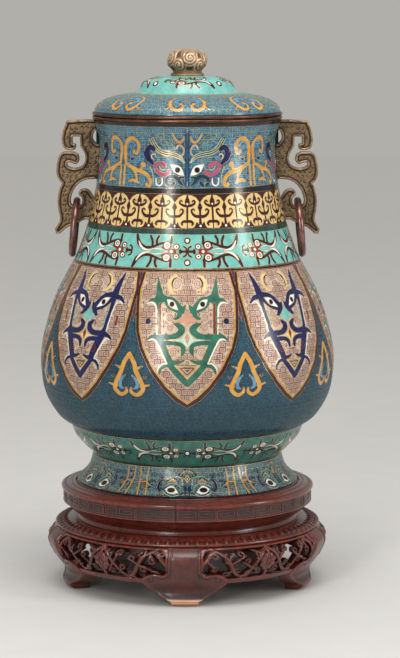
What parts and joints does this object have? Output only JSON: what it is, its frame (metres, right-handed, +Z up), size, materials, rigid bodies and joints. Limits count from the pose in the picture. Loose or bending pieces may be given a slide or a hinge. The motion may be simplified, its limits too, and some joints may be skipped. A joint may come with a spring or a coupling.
{
  "type": "lidded cloisonne vase",
  "caption": "Pear-shaped lidded vase in cloisonne enamel with two openwork handles and loose rings, on a carved hardwood stand with cabriole legs.",
  "frame": {"origin": "on the floor under the vase's axis", "axes": "+Z up along the vase's axis, +X towards the right handle, -Y towards the front"},
  "size_m": [0.269, 0.269, 0.4914],
  "materials": {
    "hardwood": "waxed, dark red-brown, carved",
    "enamel": "copper with polished cloisonne enamel, blue and turquoise grounds",
    "gilt_bronze": "cast, chased and fire gilt, worn",
    "dark_bronze": "brown patina",
    "copper": "dull, brown"
  },
  "bodies": {
    "stand": {"leg_1": "hardwood", "leg_2": "hardwood", "leg_3": "hardwood", "leg_4": "hardwood", "leg_5": "hardwood", "apron_1": "hardwood", "apron_2": "hardwood", "apron_3": "hardwood", "apron_4": "hardwood", "apron_5": "hardwood", "shoulder_ring": "hardwood", "waist_ring": "hardwood", "tray_rim_1": "hardwood", "tray_rim_2": "hardwood", "tray_rim_3": "hardwood", "tray_rim_4": "hardwood", "tray_rim_5": "hardwood", "tray_board": "hardwood"},
    "vase": {"vase_shell": "enamel", "foot_ring": "enamel", "base_plate": "gilt_bronze", "mouth_rim": "dark_bronze", "handle_left": "gilt_bronze", "handle_right": "gilt_bronze", "rivet_left_upper": "copper", "rivet_left_lower": "copper", "rivet_right_upper": "copper", "rivet_right_lower": "copper"},
    "cover": {"lid_shell": "enamel", "lid_rim": "dark_bronze", "lid_flange": "dark_bronze", "finial": "gilt_bronze", "finial_stud": "dark_bronze", "finial_washer": "dark_bronze", "finial_nut": "dark_bronze"},
    "left_ring": {"ring_left": "copper"},
    "right_ring": {"ring_right": "copper"}
  },
  "joints": [
    {"name": "vase_lift", "type": "slide", "parent": "stand", "child": "vase", "axis": [0, 0, 1], "range_m": [0, 0.06]},
    {"name": "cover_lift", "type": "slide", "parent": "vase", "child": "cover", "axis": [0, 0, 1], "range_m": [0, 0.08]},
    {"name": "left_ring_swing", "type": "hinge", "parent": "vase", "child": "left_ring", "pos_m": [-0.1008, 0, 0.3528], "axis": [0, 1, 0], "range_deg": [0, 140]},
    {"name": "right_ring_swing", "type": "hinge", "parent": "vase", "child": "right_ring", "pos_m": [0.1008, 0, 0.3528], "axis": [0, -1, 0], "range_deg": [0, 140]}
  ]
}
